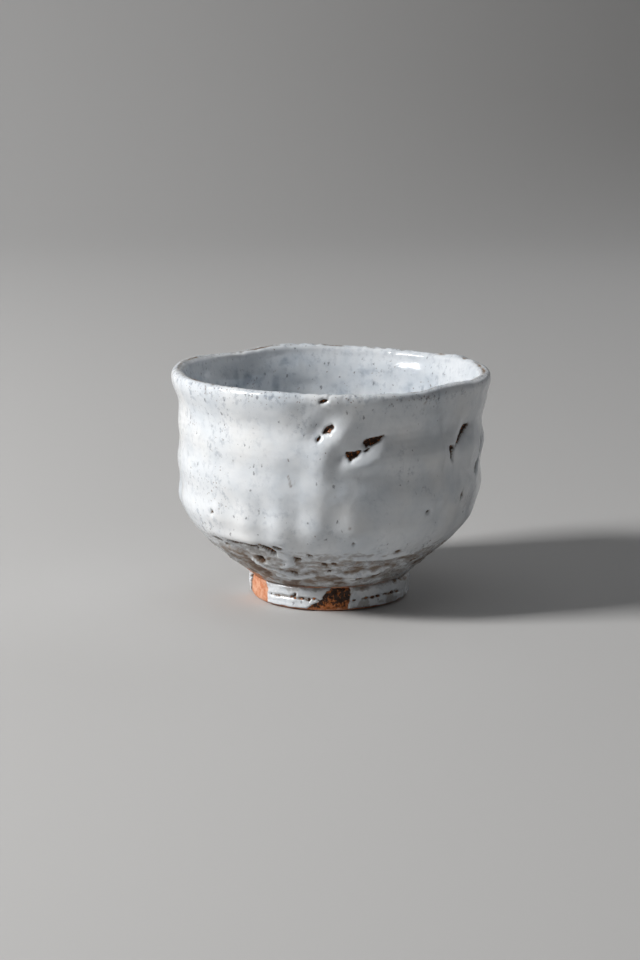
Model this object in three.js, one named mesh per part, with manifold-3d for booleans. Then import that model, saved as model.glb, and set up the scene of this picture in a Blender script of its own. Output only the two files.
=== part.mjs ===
// A hand-thrown matcha bowl: the thrown clay body, the foot ring luted under it, and its glaze coats.
//
// Millimetres, +Z up. The origin is on the table, under the middle of the bowl. Azimuth is measured
// around +Z: 0 is the front of the bowl (-Y), 90 is its right side (+X).
import * as THREE from "three";
import { mergeVertices } from "three/addons/utils/BufferGeometryUtils.js";
import Module from "manifold-3d";

const wasm = await Module();
wasm.setup();

// ---------------------------------------------------------------- driving dimensions
const LIP_HEIGHT = 87.1;
const LIP_RADIUS = 60.0;
const LIP_THICKNESS = 4.7;
const WALL_THICKNESS = 5.2;
const BELLY_RADIUS = 57.35;
const FLOOR_HEIGHT = 13.4;
const FOOT_RADIUS = 30.35;
const FOOT_HEIGHT = 8.2;
const FOOT_WALL = 6.6;
const FOOT_FLARE = 0.2;
const FOOT_CHAMFER = 0.7;
const FOOT_WELL_DEPTH = 6.7;
const FOOT_WELL_RADIUS = 20.25;
const FOOT_WELL_SLOPE = 2;
const GLAZE_THICKNESS = 0.8;
const GAP = 0.3;

// How fine the solids are.
const SEGMENTS_ROUND = 48;
const STEPS_OUTSIDE = 20;
const STEPS_INSIDE = 13;

// The hand of the potter: how far the bowl leaves a perfect turned shape.
const LEAN = -1.2;
const LEAN_TOP = 82;
const FOOT_SHIFT = 0.6;
const OVAL = 0.1;
const RIDGE_PITCH = 15.5;
const RIDGE_DEPTH = 0.4;
const RIDGE_CREST = 64.6;
const RIDGES_START = 28;
const RIDGES_FADE_IN = 12;
const RIDGES_END = 84.1;
const RIDGES_FADE_OUT = 8;
const LIP_RISE_START = 45;
const LIP_RISES = [
  [-175, 0.8], [-155, 0.9], [-138, -0.7], [-110, 0.8], [-63, 0.5], [-30, 0.3], [0, 0.0],
  [23, -0.8], [48, 0.6], [85, -0.4], [120, 0.0], [147, -0.8], [168, -0.2],
];

// Places where the glaze has crawled back from the clay: [azimuth, height, length, width, turn].
const CRAWLS = [
  [-1.0, 73.7, 4.2, 2.6, 20],
  [15.8, 69.6, 6.6, 2.0, 27],
  [7.6, 64.6, 4.6, 3.0, 5],
  [57.5, 66.4, 8.6, 2.2, 48],
  [75.5, 61.0, 7.0, 3.4, 90],
];

// Bare finger marks on the foot, where the bowl was held while it was dipped: [from, to] azimuth.
const FINGER_MARKS = [[-72, -49], [-6, 16], [142, 163]];

// ---------------------------------------------------------------- outline of the glazed surface
// [radius, height], up the outside from the foot, over the lip and down the inside to the middle.
const OUTSIDE = [
  [FOOT_RADIUS, FOOT_HEIGHT + 0.6],
  [34.6, 12.6],
  [42.6, 19.6],
  [48.8, 25.6],
  [54.0, 32.4],
  [56.6, 39.7],
  [BELLY_RADIUS - 0.3, 49],
  [BELLY_RADIUS + 0.2, 60.5],
  [BELLY_RADIUS - 0.1, 71],
  [LIP_RADIUS - 1.6, 78],
  [LIP_RADIUS, LIP_HEIGHT - 3.4],
  [LIP_RADIUS - 0.5, LIP_HEIGHT - 1.0],
];
const CREST = [LIP_RADIUS - LIP_THICKNESS / 2, LIP_HEIGHT];
const INSIDE = [
  [LIP_RADIUS - LIP_THICKNESS + 0.4, LIP_HEIGHT - 1.1],
  [LIP_RADIUS - LIP_THICKNESS - 0.4, LIP_HEIGHT - 4.0],
  [BELLY_RADIUS - WALL_THICKNESS + 1.0, 77.5],
  [BELLY_RADIUS - WALL_THICKNESS, 70],
  [BELLY_RADIUS - WALL_THICKNESS + 0.2, 60],
  [BELLY_RADIUS - WALL_THICKNESS - 0.6, 48],
  [50.0, 38.5],
  [46.6, 31.8],
  [41.4, 26.0],
  [34.4, 20.8],
  [25.0, 17.0],
  [14.0, 15.0],
  [6.0, FLOOR_HEIGHT + 0.2],
  [0, FLOOR_HEIGHT],
];

const surface = new THREE.CatmullRomCurve3(
  [...OUTSIDE, CREST, ...INSIDE].map(([radius, height]) => new THREE.Vector3(radius, height, 0)),
  false,
  "centripetal",
);
const SPANS = OUTSIDE.length + INSIDE.length;
const CREST_AT = OUTSIDE.length / SPANS;
const HALF_SEAM = 0.11 / SPANS;

// A point of the outline, sunk below the glazed surface by depth.
function sunkPoint(at, depth) {
  const point = surface.getPoint(at);
  const along = surface.getTangent(at);
  const radius = at === 1 ? 0 : point.x - along.y * depth;
  return new THREE.Vector2(radius, point.y + along.x * depth);
}

// A stretch of the outline, sunk by depth, in equal steps of the curve's parameter.
function sunkStretch(from, to, steps, depth) {
  return Array.from({ length: steps + 1 }, (_, step) => sunkPoint(from + ((to - from) * step) / steps, depth));
}

// ---------------------------------------------------------------- the potter's hand
function smoothStep(value) {
  const clamped = THREE.MathUtils.clamp(value, 0, 1);
  return clamped * clamped * (3 - 2 * clamped);
}

// Height of the lip above its mean at an azimuth in degrees, eased between the listed rises.
function lipRise(azimuth) {
  const last = LIP_RISES.length - 1;
  const wrapped = [
    [LIP_RISES[last][0] - 360, LIP_RISES[last][1]],
    ...LIP_RISES,
    [LIP_RISES[0][0] + 360, LIP_RISES[0][1]],
  ];
  const next = wrapped.findIndex(([at]) => at > azimuth);
  const [fromAt, fromRise] = wrapped[next - 1];
  const [toAt, toRise] = wrapped[next];
  return THREE.MathUtils.lerp(fromRise, toRise, smoothStep((azimuth - fromAt) / (toAt - fromAt)));
}

// How far the wall stands out at an azimuth in radians: slightly oval, with one spiral throwing ridge.
function throwingMarks(azimuth, height) {
  const oval = -OVAL * Math.cos(2 * azimuth) * smoothStep(height / FOOT_HEIGHT - 1);
  const ridge = Math.cos((2 * Math.PI * (height - RIDGE_CREST)) / RIDGE_PITCH + azimuth);
  const fadeIn = smoothStep((height - RIDGES_START) / RIDGES_FADE_IN);
  const fadeOut = smoothStep((RIDGES_END - height) / RIDGES_FADE_OUT);
  return oval + RIDGE_DEPTH * ridge * fadeIn * fadeOut;
}

// Moves every point of a turned shape to where the hand left it. All pieces share it, so the gaps stay.
function shapeByHand(geometry) {
  const position = geometry.attributes.position;
  for (let index = 0; index < position.count; index += 1) {
    const x = position.getX(index);
    const y = position.getY(index);
    const z = position.getZ(index);
    const azimuth = Math.atan2(x, -y);
    const spread = 1 + throwingMarks(azimuth, z) / BELLY_RADIUS;
    const lean = LEAN * (1 - smoothStep(z / LEAN_TOP));
    const rise = lipRise(THREE.MathUtils.radToDeg(azimuth));
    const rising = smoothStep((z - LIP_RISE_START) / (LIP_HEIGHT - LIP_RISE_START));
    position.setXYZ(index, x * spread + lean, y * spread, z + rise * rising);
  }
  geometry.computeVertexNormals();
  return geometry;
}

// ---------------------------------------------------------------- shape helpers
// A turned solid. Its outline keeps the solid on its left, and either closes or ends on the axis.
function turned(outline) {
  const geometry = new THREE.LatheGeometry(outline, SEGMENTS_ROUND);
  geometry.rotateX(Math.PI / 2);
  return geometry;
}

function closed(outline) {
  return [...outline, outline[0].clone()];
}

function outlineOf(points) {
  return points.map(([radius, height]) => new THREE.Vector2(radius, height));
}

function toSolid(geometry) {
  geometry.deleteAttribute("normal");
  geometry.deleteAttribute("uv");
  const merged = mergeVertices(geometry);
  return new wasm.Manifold(new wasm.Mesh({
    numProp: 3,
    vertProperties: new Float32Array(merged.attributes.position.array),
    triVerts: new Uint32Array(merged.index.array),
  }));
}

function toGeometry(solid) {
  const mesh = solid.getMesh();
  const geometry = new THREE.BufferGeometry();
  geometry.setAttribute("position", new THREE.BufferAttribute(mesh.vertProperties, 3));
  geometry.setIndex(new THREE.BufferAttribute(mesh.triVerts, 1));
  return geometry;
}

// ---------------------------------------------------------------- materials
const glaze = new THREE.MeshStandardMaterial({ color: 0xd3d6da, roughness: 0.2, metalness: 0 });
const clay = new THREE.MeshStandardMaterial({ color: 0xb5683f, roughness: 0.8, metalness: 0 });

function piece(name, geometry, material) {
  const mesh = new THREE.Mesh(shapeByHand(geometry), material);
  mesh.name = name;
  return mesh;
}

// A piece of the foot, which was luted on a little to one side of the body's middle.
function footPiece(name, geometry, material) {
  const mesh = piece(name, geometry, material);
  mesh.position.x = FOOT_SHIFT;
  return mesh;
}

// ---------------------------------------------------------------- clay body
// The wall and floor in one thrown piece: under the glaze outside and inside, and cut flat below.
function clayBody() {
  const depth = GLAZE_THICKNESS + GAP;
  const outside = sunkStretch(0, CREST_AT, STEPS_OUTSIDE, depth);
  const inside = sunkStretch(CREST_AT, 1, STEPS_INSIDE, depth).slice(1);
  const seatHeight = FOOT_HEIGHT + GAP;
  const underside = outlineOf([
    [0, FOOT_WELL_DEPTH],
    [FOOT_WELL_RADIUS, FOOT_WELL_DEPTH],
    [FOOT_WELL_RADIUS + FOOT_WELL_SLOPE, seatHeight],
    [FOOT_RADIUS - 2 * depth, seatHeight],
  ]);
  return turned([...underside, ...outside, ...inside]);
}

// ---------------------------------------------------------------- foot ring
// The coil luted under the body and turned true, with chamfered edges where it stands.
function footRing() {
  const outer = FOOT_RADIUS - GLAZE_THICKNESS - GAP;
  const inner = FOOT_RADIUS - FOOT_WALL;
  return turned(closed(outlineOf([
    [inner + FOOT_CHAMFER, 0],
    [outer - FOOT_CHAMFER, 0],
    [outer, FOOT_CHAMFER],
    [outer + FOOT_FLARE, FOOT_HEIGHT - GAP],
    [outer - FOOT_FLARE, FOOT_HEIGHT],
    [inner - 2 * FOOT_FLARE, FOOT_HEIGHT],
    [inner - FOOT_FLARE, FOOT_CHAMFER],
  ])));
}

// ---------------------------------------------------------------- glaze coats
// The hidden back and the glazed face of a coat over a stretch of the outline.
function coatFaces(from, to, steps) {
  const face = sunkStretch(from, to, steps, 0);
  const back = sunkStretch(from, to, steps, GLAZE_THICKNESS).reverse();
  return [back, face];
}

// One crawl: a pointed lens through the coat, seen along the radius and turned in the wall.
function crawlCutter([azimuth, height, length, width, turn]) {
  const outline = new THREE.Shape();
  outline.moveTo(-length / 2, 0);
  outline.quadraticCurveTo(0, -width, length / 2, 0);
  outline.quadraticCurveTo(0, width, -length / 2, 0);
  const reach = 8;
  const cutter = new THREE.ExtrudeGeometry(outline, { depth: reach, bevelEnabled: false, curveSegments: 4 });
  cutter.rotateZ(THREE.MathUtils.degToRad(turn));
  cutter.rotateX(Math.PI / 2);
  cutter.translate(0, reach / 2 - BELLY_RADIUS, height);
  cutter.rotateZ(THREE.MathUtils.degToRad(azimuth));
  return cutter;
}

function outerGlaze() {
  const faces = coatFaces(0, CREST_AT - HALF_SEAM, STEPS_OUTSIDE);
  const whole = toSolid(turned(closed(faces.flat())));
  const crawled = CRAWLS.reduce((solid, crawl) => solid.subtract(toSolid(crawlCutter(crawl))), whole);
  return toGeometry(crawled);
}

function innerGlaze() {
  return turned(coatFaces(CREST_AT + HALF_SEAM, 1, STEPS_INSIDE).flat());
}

// The coat on the foot's outside between two bare finger marks.
function footGlaze(from, to) {
  const edge = 0.8;
  const outer = FOOT_RADIUS;
  const inner = FOOT_RADIUS - GLAZE_THICKNESS + FOOT_FLARE;
  const start = THREE.MathUtils.degToRad(from - 90);
  const end = THREE.MathUtils.degToRad(to - 90);
  const outline = new THREE.Shape();
  outline.absarc(0, 0, outer, start, end, false);
  outline.absarc(0, 0, inner, end, start, true);
  outline.closePath();
  const geometry = new THREE.ExtrudeGeometry(outline, {
    depth: FOOT_HEIGHT - 2 * edge,
    bevelEnabled: false,
    curveSegments: Math.ceil((SEGMENTS_ROUND * (to - from)) / 360),
  });
  geometry.translate(0, 0, edge);
  return geometry;
}

function footWellGlaze() {
  const radius = FOOT_WELL_RADIUS - GAP;
  const top = FOOT_WELL_DEPTH - GAP;
  return turned(outlineOf([
    [0, top - GLAZE_THICKNESS],
    [radius, top - GLAZE_THICKNESS],
    [radius, top],
    [0, top],
  ]));
}

// ---------------------------------------------------------------- the bowl
const bowl = new THREE.Group();
bowl.add(piece("clay_body", clayBody(), clay));
bowl.add(footPiece("foot_ring", footRing(), clay));
bowl.add(piece("outer_glaze", outerGlaze(), glaze));
bowl.add(piece("inner_glaze", innerGlaze(), glaze));

const FOOT_GLAZE_NAMES = ["foot_glaze_front", "foot_glaze_right", "foot_glaze_back"];
FOOT_GLAZE_NAMES.forEach((name, index) => {
  const from = FINGER_MARKS[index][1];
  const to = index < 2 ? FINGER_MARKS[index + 1][0] : FINGER_MARKS[0][0] + 360;
  bowl.add(footPiece(name, footGlaze(from, to), glaze));
});
bowl.add(footPiece("foot_well_glaze", footWellGlaze(), glaze));

export default bowl;
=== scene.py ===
"""The looks of a hand-thrown matcha bowl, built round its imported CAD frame.

Lengths are millimetres until a mesh is made. Azimuth is in degrees round +Z: 0 is the front (-Y)
and 90 the right side (+X). "Along" is the distance along an outline, from the foot over the lip.
A coat of glaze is a closed skin whose face rises above the clay and dives under it where the
glaze has crawled back, so the clay's own mesh shows there.
"""

import itertools
import math

import bpy
import numpy as np
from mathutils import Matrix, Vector


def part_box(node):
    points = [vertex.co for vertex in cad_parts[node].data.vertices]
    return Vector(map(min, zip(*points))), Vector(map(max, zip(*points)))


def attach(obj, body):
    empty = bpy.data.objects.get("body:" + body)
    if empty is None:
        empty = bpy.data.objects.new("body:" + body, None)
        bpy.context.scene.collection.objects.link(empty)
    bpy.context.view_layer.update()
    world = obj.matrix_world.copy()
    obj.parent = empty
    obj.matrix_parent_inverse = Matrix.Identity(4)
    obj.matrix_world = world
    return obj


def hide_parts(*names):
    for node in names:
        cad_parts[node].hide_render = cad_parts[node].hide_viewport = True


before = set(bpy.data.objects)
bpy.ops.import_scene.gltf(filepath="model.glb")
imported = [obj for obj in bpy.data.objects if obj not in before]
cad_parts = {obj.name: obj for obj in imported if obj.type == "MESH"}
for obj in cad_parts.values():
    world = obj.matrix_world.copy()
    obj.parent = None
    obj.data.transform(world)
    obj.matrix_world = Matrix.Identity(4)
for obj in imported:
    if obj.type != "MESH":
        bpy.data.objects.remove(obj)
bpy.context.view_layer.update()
MM = 0.001

# -------------------------------- sizes, from the frame


def box_mm(node):
    """Lowest and highest corner of a CAD node, in millimetres."""
    low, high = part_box(node)
    return np.array(low) / MM, np.array(high) / MM


OVAL = 0.1
LIP_RISES = (
    (-175, 0.8), (-155, 0.9), (-138, -0.7), (-110, 0.8), (-63, 0.5), (-30, 0.3), (0, 0.0),
    (23, -0.8), (48, 0.6), (85, -0.4), (120, 0.0), (147, -0.8), (168, -0.2),
)
GLAZE = 0.8
GAP = 0.3
LIP_FLARE = 2.65

wall_low, wall_high = box_mm("outer_glaze")
ring_low, ring_high = box_mm("foot_ring")
LIP_HEIGHT = wall_high[2] - max(rise for _, rise in LIP_RISES)
LIP_RADIUS = (wall_high[0] - wall_low[0]) / 2 - OVAL
LIP_THICKNESS = 4.7
WALL = 5.2
BELLY_RADIUS = LIP_RADIUS - LIP_FLARE
BELLY_INSIDE = BELLY_RADIUS - WALL
FOOT_HEIGHT = ring_high[2]
RING_TO_COAT = 0.1  # how far the clay here stands past the CAD's ring
FOOT_RADIUS = (ring_high[1] - ring_low[1]) / 2 + GLAZE + RING_TO_COAT
FOOT_WALL = 6.6
FOOT_INNER = FOOT_RADIUS - FOOT_WALL
FLOOR_HEIGHT = box_mm("inner_glaze")[0][2] + GLAZE
WELL_TOP = box_mm("clay_body")[0][2]

# How far the bowl leaves a perfect turned shape.
LEAN = -1.2
LEAN_TOP = 82
FOOT_SHIFT = 0.6
FOOT_SHIFT_START = 7
FOOT_SHIFT_FADE = 3
RIDGE_PITCH = 15.5
RIDGE_DEPTH = 0.4
RIDGE_CREST = 64.6
RIDGES_START = 28
RIDGES_FADE_IN = 12
RIDGES_END = LIP_HEIGHT - 3
RIDGES_FADE_OUT = 8
LIP_RISE_START = 45

# A floor's innermost ring of points, which a fan closes.
POLE_RADIUS = 0.5

# The glazed surface: (radius, height) up the outside, over the lip and down the inside.
OUTSIDE_POINTS = (
    (FOOT_RADIUS, FOOT_HEIGHT + 0.6), (34.6, 12.6), (42.6, 19.6), (48.8, 25.6), (54, 32.4),
    (56.6, 39.7), (BELLY_RADIUS - 0.3, 49), (BELLY_RADIUS + 0.2, 60.5), (BELLY_RADIUS - 0.1, 71),
    (LIP_RADIUS - 1.6, 78), (LIP_RADIUS, LIP_HEIGHT - 3.4), (LIP_RADIUS - 0.5, LIP_HEIGHT - 1),
)
CREST_POINT = (LIP_RADIUS - LIP_THICKNESS / 2, LIP_HEIGHT)
INSIDE_POINTS = (
    (LIP_RADIUS - LIP_THICKNESS + 0.4, LIP_HEIGHT - 1.1),
    (LIP_RADIUS - LIP_THICKNESS - 0.4, LIP_HEIGHT - 4), (BELLY_INSIDE + 1, 77.5),
    (BELLY_INSIDE, 70), (BELLY_INSIDE + 0.2, 60), (BELLY_INSIDE - 0.6, 48),
    (50, 38.5), (46.6, 31.8), (41.4, 26), (34.4, 20.8), (25, 17), (14, 15), (6, FLOOR_HEIGHT + 0.2),
    (POLE_RADIUS, FLOOR_HEIGHT),
)

# -------------------------------- small mathematics


def smooth_step(value):
    """0 below 0, 1 above 1, eased between."""
    value = np.clip(value, 0, 1)
    return value * value * (3 - 2 * value)


def bell(value):
    """1 at 0, falling away like a bell."""
    return np.exp(-value * value)


def wrapped(azimuth):
    """An azimuth brought between -180 and 180."""
    return (azimuth + 180) % 360 - 180


LATTICE_SIZE = 256
SEED_SHIFT = 17.31
NOISE_GAIN = 1.7
random = np.random.default_rng(71)
LATTICE = random.permutation(LATTICE_SIZE)
PULLS = random.normal(size=(LATTICE_SIZE, 3))
PULLS /= np.linalg.norm(PULLS, axis=1)[:, None]


def smooth_noise(place, size, seed):
    """Noise, about -1 to 1, with lumps about size millimetres across. Each seed is a new pattern."""
    scaled = place / size + seed * SEED_SHIFT
    cell = np.floor(scaled).astype(int)
    inside = scaled - cell
    fade = inside ** 3 * (inside * (inside * 6 - 15) + 10)
    total = np.zeros(place.shape[:-1])
    for corner in itertools.product((0, 1), repeat=3):
        key = 0
        for axis in range(3):
            key = LATTICE[(key + cell[..., axis] + corner[axis]) % LATTICE_SIZE]
        pull = (PULLS[key] * (inside - corner)).sum(-1)
        total += pull * np.where(corner, fade, 1 - fade).prod(-1)
    return total * NOISE_GAIN


STEPS_PER_SPAN = 40


def catmull_rom(points):
    """A centripetal Catmull-Rom curve through the points, as close samples."""
    points = np.array(points, float)
    points = np.vstack([2 * points[0] - points[1], points, 2 * points[-1] - points[-2]])
    stretches = []
    for a, b, c, d in zip(points, points[1:], points[2:], points[3:]):
        knot1 = math.dist(a, b) ** 0.5
        knot2 = knot1 + math.dist(b, c) ** 0.5
        knot3 = knot2 + math.dist(c, d) ** 0.5
        t = np.linspace(knot1, knot2, STEPS_PER_SPAN, endpoint=False)[:, None]
        ab = (a * (knot1 - t) + b * t) / knot1
        bc = (b * (knot2 - t) + c * (t - knot1)) / (knot2 - knot1)
        cd = (c * (knot3 - t) + d * (t - knot2)) / (knot3 - knot2)
        abc = (ab * (knot2 - t) + bc * t) / knot2
        bcd = (bc * (knot3 - t) + cd * (t - knot1)) / (knot3 - knot1)
        stretches.append((abc * (knot2 - t) + bcd * (t - knot1)) / (knot2 - knot1))
    stretches.append(points[-2][None])
    return np.vstack(stretches)


class Outline:
    """A turned outline. Its solid is on the left of the way it runs."""

    def __init__(self, points):
        self.curve = catmull_rom(points)
        steps = np.hypot(*np.diff(self.curve, axis=0).T)
        self.along = np.concatenate([[0], np.cumsum(steps)])
        run = np.gradient(self.curve, self.along, axis=0)
        self.facing = np.stack([run[:, 1], -run[:, 0]], axis=1)
        self.length = self.along[-1]

    def radius_height(self, along, raised=0.0):
        """Radius and height at distances along, raised off the surface by some millimetres."""
        radius, height = (np.interp(along, self.along, column) for column in self.curve.T)
        outward, upward = (np.interp(along, self.along, column) for column in self.facing.T)
        return radius + raised * outward, height + raised * upward

    def along_at(self, height):
        """Distance along to where a rising outline reaches a height."""
        rising = self.along <= self.along[np.argmax(self.curve[:, 1])]
        return np.interp(height, self.curve[rising, 1], self.along[rising])


WALL_OUTLINE = Outline((*OUTSIDE_POINTS, CREST_POINT, *INSIDE_POINTS))
CREST = WALL_OUTLINE.along_at(LIP_HEIGHT)
CREST_TO_SEAM = 2.6
SEAM = CREST + CREST_TO_SEAM

# -------------------------------- the potter's hand


def lip_rise(azimuth):
    """Height of the lip above its mean, eased between the listed rises."""
    places = np.array([at for at, _ in LIP_RISES], float)
    rises = np.array([rise for _, rise in LIP_RISES])
    places = np.concatenate([[places[-1] - 360], places, [places[0] + 360]])
    rises = np.concatenate([[rises[-1]], rises, [rises[0]]])
    azimuth = wrapped(np.asarray(azimuth, float))
    after = np.clip(np.searchsorted(places, azimuth, side="right"), 1, len(places) - 1)
    share = smooth_step((azimuth - places[after - 1]) / (places[after] - places[after - 1]))
    return rises[after - 1] + share * (rises[after] - rises[after - 1])


def throwing_marks(turn, height):
    """How far the wall stands out: slightly oval, with one spiral throwing ridge."""
    ridge = np.cos(2 * np.pi * (height - RIDGE_CREST) / RIDGE_PITCH + turn)
    fade_in = smooth_step((height - RIDGES_START) / RIDGES_FADE_IN)
    fade_out = smooth_step((RIDGES_END - height) / RIDGES_FADE_OUT)
    oval = -OVAL * np.cos(2 * turn) * smooth_step(height / FOOT_HEIGHT - 1)
    return oval + RIDGE_DEPTH * ridge * (fade_in * fade_out)


def shaped_by_hand(azimuth, radius, height, foot=False):
    """Points of a turned shape, moved to where the hand left them."""
    turn = np.radians(azimuth)
    spread = 1 + throwing_marks(turn, height) / BELLY_RADIUS
    lean = LEAN * (1 - smooth_step(height / LEAN_TOP))
    if foot:
        lean = lean + FOOT_SHIFT * (1 - smooth_step((height - FOOT_SHIFT_START) / FOOT_SHIFT_FADE))
    rising = smooth_step((height - LIP_RISE_START) / (LIP_HEIGHT - LIP_RISE_START))
    x = radius * np.sin(turn) * spread + lean
    y = -radius * np.cos(turn) * spread
    z = height + lip_rise(azimuth) * rising
    return np.stack(np.broadcast_arrays(x, y, z), axis=-1)


# Strokes further away than this count as this far.
FAR = 12.0


class Grid:
    """Rows of points along an outline by columns of azimuth, before anything is raised on them."""

    def __init__(self, outline, azimuth, along, foot=False):
        self.outline = outline
        self.azimuth = np.asarray(azimuth, float)[None, :]
        self.along = np.asarray(along, float)[:, None]
        self.foot = foot
        self.radius, self.height = outline.radius_height(self.along)
        self.shape = (self.along.shape[0], self.azimuth.shape[1])
        turn = np.radians(self.azimuth)
        flat = (self.radius * np.sin(turn), -self.radius * np.cos(turn), self.height + 0 * turn)
        self.place = np.stack(np.broadcast_arrays(*flat), axis=-1)

    def raised(self, amount):
        """The grid's points, raised off the surface and shaped by hand."""
        radius, height = self.outline.radius_height(self.along, amount)
        return shaped_by_hand(self.azimuth, radius, height, self.foot)

    def full(self, value):
        """One value at every point."""
        return np.full(self.shape, value, float)

    def noise(self, size, seed, squeeze=1.0):
        """Smooth noise at the points, with its lumps squeezed in height by a factor."""
        return smooth_noise(self.place * (1, 1, squeeze), size, seed)

    def beside(self, azimuth, reach):
        """1 at an azimuth, falling away within some degrees of it."""
        return bell(wrapped(self.azimuth - azimuth) / reach)

    def stroke(self, points, reach=FAR):
        """Distance over the surface to a tapered stroke through (azimuth, height, radius) points.

        It is negative inside the stroke, and reach where the stroke is further than that.
        """
        points = np.array(points, float)
        centre = points[0, 0]
        middle_radius = self.outline.radius_height(self.outline.along_at(points[:, 1].mean()))[0]
        across = np.radians(wrapped(self.azimuth - centre)) * middle_radius
        knots = np.stack([
            np.radians(wrapped(points[:, 0] - centre)) * middle_radius,
            self.outline.along_at(points[:, 1]),
            points[:, 2],
        ], axis=1)
        low = knots.min(axis=0) - reach
        high = knots.max(axis=0) + reach
        columns = np.flatnonzero((across[0] > low[0]) & (across[0] < high[0]))
        rows = np.flatnonzero((self.along[:, 0] > low[1]) & (self.along[:, 0] < high[1]))
        distance = self.full(reach)
        if not len(columns) or not len(rows):
            return distance
        x = across[:, columns]
        y = self.along[rows]
        near = np.full((len(rows), len(columns)), reach)
        for start, end in zip(knots, knots[1:]):
            run = end - start
            share = ((x - start[0]) * run[0] + (y - start[1]) * run[1]) / (run[0] ** 2 + run[1] ** 2)
            share = np.clip(share, 0, 1)
            gap = np.hypot(x - start[0] - share * run[0], y - start[1] - share * run[1])
            near = np.minimum(near, gap - start[2] - share * run[2])
        distance[np.ix_(rows, columns)] = near
        return distance

    def strokes(self, many, reach=FAR):
        """Distance to the nearest of many strokes."""
        distance = self.full(reach)
        for points in many:
            distance = np.minimum(distance, self.stroke(points, reach))
        return distance

    def dent(self, azimuth, height, across, tall, turn):
        """A soft elliptical bump, 1 in its middle, turned by some degrees in the surface."""
        middle = self.outline.along_at(height)
        middle_radius = self.outline.radius_height(middle)[0]
        x = np.radians(wrapped(self.azimuth - azimuth)) * middle_radius
        y = self.along - middle
        cosine = math.cos(math.radians(turn))
        sine = math.sin(math.radians(turn))
        return bell(np.hypot((x * cosine + y * sine) / across, (y * cosine - x * sine) / tall))


GRADING_SAMPLES = 4000


def graded(start, stop, coarse, fine, places):
    """Steps from start to stop: coarse, but fine within reach of each (place, reach)."""
    sample = np.linspace(start, stop, GRADING_SAMPLES)
    closeness = np.zeros_like(sample)
    for place, reach in places:
        closeness = np.maximum(closeness, smooth_step(1.5 - np.abs(sample - place) / reach))
    density = 1 / coarse + (1 / fine - 1 / coarse) * closeness
    total = np.concatenate([[0], np.cumsum((density[1:] + density[:-1]) / 2 * np.diff(sample))])
    count = int(round(total[-1]))
    return np.interp(np.linspace(0, total[-1], count + 1), total, sample)


# -------------------------------- marks of making and firing
# Crawls are strokes through (azimuth, height, radius): bare clay where the glaze drew back.
FRONT_CRAWLS = (
    ((-3.7, 84.3, 0.4), (-2.9, 84.5, 0.75), (-1.9, 84.8, 0.4)),
    ((0, 74.5, 0.75), (-1.2, 73.5, 1.15), (-2.5, 72.5, 0.6)),
    ((-4.3, 70.9, 0.4), (-5.1, 69.8, 0.35)),
    (
        (18.9, 71.5, 0.2), (16.8, 70.2, 0.85), (14.2, 69.3, 1.25), (12.9, 68.9, 1),
        (12.7, 67.6, 0.35),
    ),
    ((13.5, 66.9, 0.25), (12.1, 66.1, 0.42)),
    ((10.6, 66.2, 0.15), (8.6, 65, 0.9), (6.8, 64.5, 1.35), (5.5, 65.4, 0.5)),
    ((6.8, 64, 1.1), (6.9, 62.8, 0.4)),
)
RIGHT_CRAWLS = (
    ((62.6, 70.1, 0.5), (59.6, 69, 1.1), (56.3, 67.3, 1.25), (53.8, 65.3, 1), (52, 64.2, 0.5)),
    ((50.8, 63.2, 0.6), (48.6, 63.3, 0.8), (49.5, 61.8, 0.95), (50.2, 58.9, 0.4)),
    ((74, 63.8, 0.9), (75.6, 61.3, 1.9), (76.2, 58.6, 0.9)),
    ((73.2, 55.4, 0.5), (71.2, 53.4, 1), (69.2, 51.2, 0.6)),
    ((58.3, 45.9, 0.3), (57.5, 44.6, 0.8), (57.2, 43.4, 0.3)),
)
SHOULDER_CRAWLS = (
    ((-55, 28.1, 0.9), (-53, 27.6, 1.2)), ((-51.4, 25.5, 0.7), (-50.2, 25.3, 0.6)),
    ((-45.4, 28.8, 0.8), (-42, 28.1, 1.6), (-39.6, 28.4, 1.1)),
    ((-37.4, 28.9, 0.8), (-35.2, 28.1, 1.9), (-32.6, 27.9, 1.8), (-31, 28.6, 0.7)),
    ((-28.6, 28.9, 1.3), (-26.8, 27.6, 2), (-25, 26, 1.4)), ((-22.4, 28.6, 1), (-20.6, 28.4, 0.8)),
    ((-15, 24.2, 0.6), (-13.6, 23.8, 0.8)), ((-33.4, 22.8, 0.6), (-31.6, 22.4, 0.9)),
)
BELLY_PITS = (
    ((-8.8, 25.9, 0.45), (-7.9, 25.4, 0.7)), ((-2.4, 21.8, 0.6), (-1.3, 21.3, 0.4)),
    ((1.8, 22.3, 0.3), (2.9, 21.8, 0.4)), ((0.2, 18, 0.45), (0.8, 18.2, 0.3)),
    ((-19.2, 16.9, 0.6), (-17.5, 16.7, 0.5)), ((28, 14.6, 0.7), (30.4, 14.8, 0.5)),
    ((17.8, 13.5, 0.4), (18.8, 13.4, 0.4)), ((29.8, 26.2, 0.3), (30.8, 26.3, 0.3)),
    ((9, 31.6, 0.35), (9.4, 31.5, 0.3)), ((38.8, 41.2, 0.45), (39.6, 41, 0.3)),
    ((-49.9, 39.7, 0.3), (-49.2, 39.4, 0.4)),
)
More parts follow.
